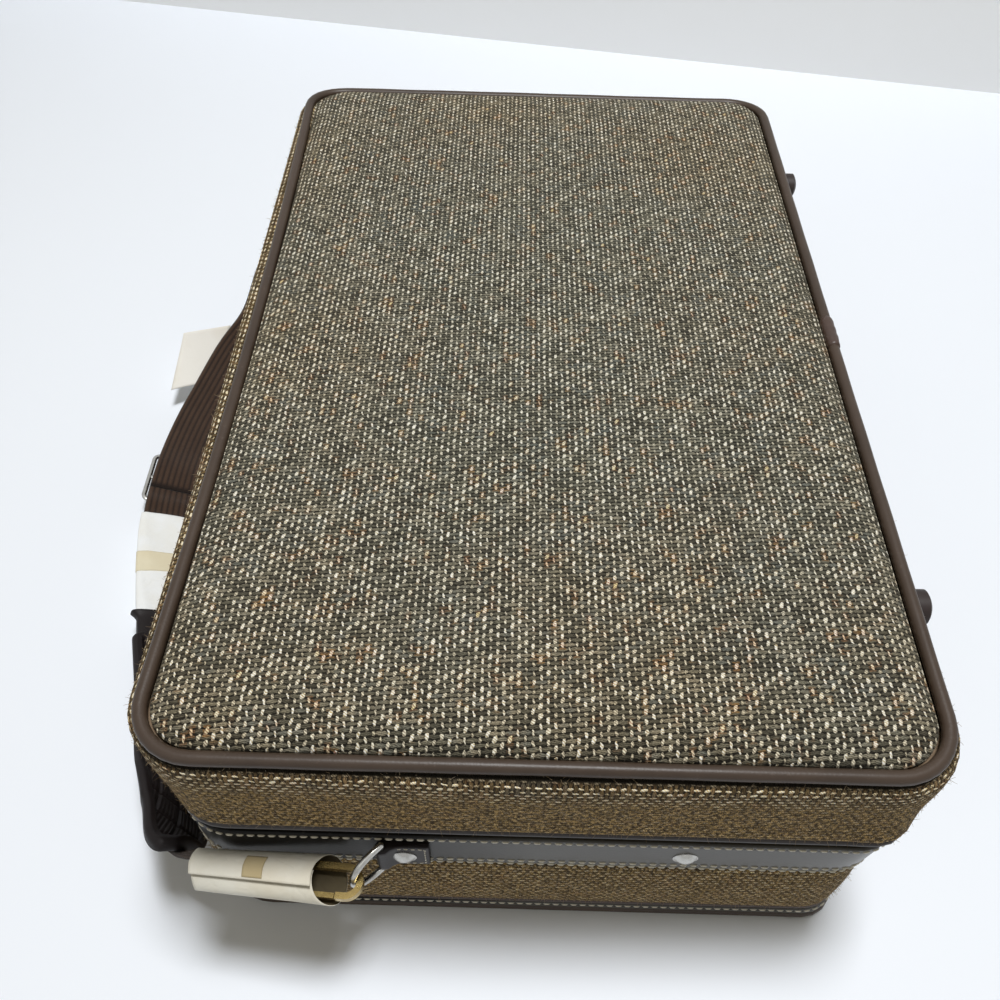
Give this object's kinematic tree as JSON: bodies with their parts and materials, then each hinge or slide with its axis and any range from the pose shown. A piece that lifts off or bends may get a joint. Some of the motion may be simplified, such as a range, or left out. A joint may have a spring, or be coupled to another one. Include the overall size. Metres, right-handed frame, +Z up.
{
  "type": "soft-sided travel case",
  "caption": "Soft-sided tweed travel case with vinyl band and piping, zip-round lid hinged on the side with feet, hanging handle and a padded shoulder strap clipped to dee rings.",
  "frame": {"origin": "middle of the flat back panel, on the floor that the case lies on", "axes": "+Z up out of the floor, +Y along the case from the near end to the far end, +X towards the hinge side that carries the feet"},
  "size_m": [0.4674, 0.5835, 0.2019],
  "materials": {
    "tweed": "nubby plain-weave tweed, matte",
    "tweed_side": "nubby plain-weave tweed, matte",
    "foam": "soft foam",
    "board": "fibreboard",
    "frame_ply": "thin bent plywood",
    "piping_vinyl": "soft satin vinyl",
    "welt_vinyl": "soft satin vinyl",
    "band_vinyl": "smooth satin vinyl",
    "chape_vinyl": "dark satin vinyl",
    "handle_vinyl": "stitched satin vinyl",
    "zip_tape": "woven tape",
    "zip_brass": "aged brass",
    "lining": "plain lining cloth",
    "elastic": "woven strap",
    "foot_rubber": "dark moulded",
    "nickel": "bright nickel",
    "steel": "plain steel",
    "hook_brass": "bright brass",
    "webbing": "ribbed webbing",
    "pad_rubber": "moulded, ribbed",
    "paper": "soft wrapping paper",
    "tape": "paper tape"
  },
  "bodies": {
    "base": {"base_panel": "band_vinyl", "base_board": "board", "base_frame": "frame_ply", "base_piping": "piping_vinyl", "base_edge": "band_vinyl", "base_welt": "welt_vinyl", "base_gusset": "tweed_side", "base_band": "band_vinyl", "base_zip_tape": "zip_tape", "base_zip_teeth": "zip_brass", "base_lining": "lining", "tie_straps": "elastic", "tie_buckles": "nickel", "base_feet": "foot_rubber", "hinge_tape_base": "welt_vinyl", "hinge_cord": "welt_vinyl", "band_rivets": "nickel", "chape_near": "chape_vinyl", "chape_far": "chape_vinyl", "chape_rivets": "nickel", "handle_brackets": "nickel", "bracket_rivets": "nickel", "hook_near": "hook_brass", "hook_far": "hook_brass", "eye_near": "hook_brass", "eye_far": "hook_brass", "strap_webbing": "webbing", "shoulder_pad": "pad_rubber", "strap_slide": "nickel", "paper_tube": "paper", "paper_sleeve": "paper", "paper_tapes": "tape", "hang_tag": "paper"},
    "lid": {"lid_panel": "tweed", "lid_foam": "foam", "lid_board": "board", "lid_frame": "frame_ply", "lid_gusset": "tweed_side", "lid_piping": "piping_vinyl", "piping_sleeve": "piping_vinyl", "lid_welt": "welt_vinyl", "lid_zip_tape": "zip_tape", "lid_zip_teeth": "zip_brass", "lid_lining": "lining", "lid_pocket": "lining", "pocket_elastic": "elastic", "lid_feet": "foot_rubber", "hinge_tape_lid": "welt_vinyl"},
    "handle": {"handle_grip": "handle_vinyl", "handle_core": "steel", "handle_loops": "nickel"},
    "slider_near": {"slider_near": "zip_brass"},
    "slider_far": {"slider_far": "zip_brass"},
    "pull_near": {"pull_near": "piping_vinyl"},
    "pull_far": {"pull_far": "piping_vinyl"},
    "dee_near": {"dee_near": "nickel"},
    "dee_far": {"dee_far": "nickel"},
    "gate_near": {"gate_near": "hook_brass"},
    "gate_far": {"gate_far": "hook_brass"}
  },
  "joints": [
    {"name": "lid_hinge", "type": "hinge", "parent": "base", "child": "lid", "pos_m": [0.1685, 0, 0.119], "axis": [0, 1, 0], "range_deg": [0, 150]},
    {"name": "handle_swing", "type": "hinge", "parent": "base", "child": "handle", "pos_m": [-0.177, 0, 0.09], "axis": [0, 1, 0], "range_deg": [0, 120]},
    {"name": "slider_near_run", "type": "slide", "parent": "base", "child": "slider_near", "axis": [0, -1, 0], "range_m": [0, 0.19]},
    {"name": "slider_far_run", "type": "slide", "parent": "base", "child": "slider_far", "axis": [0, 1, 0], "range_m": [0, 0.19]},
    {"name": "pull_near_flip", "type": "hinge", "parent": "slider_near", "child": "pull_near", "pos_m": [-0.171, -0.014, 0.119], "axis": [0, 1, 0], "range_deg": [0, 150]},
    {"name": "pull_far_flip", "type": "hinge", "parent": "slider_far", "child": "pull_far", "pos_m": [-0.171, 0.014, 0.119], "axis": [0, 1, 0], "range_deg": [0, 150]},
    {"name": "dee_near_rock", "type": "hinge", "parent": "base", "child": "dee_near", "pos_m": [-0.071, -0.27015, 0.0975], "axis": [0, 0, 1], "range_deg": [-8, 0]},
    {"name": "dee_far_rock", "type": "hinge", "parent": "base", "child": "dee_far", "pos_m": [-0.071, 0.27015, 0.0975], "axis": [0, 0, 1], "range_deg": [0, 8]},
    {"name": "gate_near_open", "type": "hinge", "parent": "base", "child": "gate_near", "pos_m": [-0.10791, -0.2875, 0.09584], "axis": [-0.0695, 0.0055, 0.9976], "range_deg": [0, 20], "stiffness_Nm_per_rad": 0.02, "springref_deg": -5.73},
    {"name": "gate_far_open", "type": "hinge", "parent": "base", "child": "gate_far", "pos_m": [-0.10791, 0.2875, 0.09584], "axis": [0.0695, 0.0055, -0.9976], "range_deg": [0, 20], "stiffness_Nm_per_rad": 0.02, "springref_deg": -5.73}
  ]
}
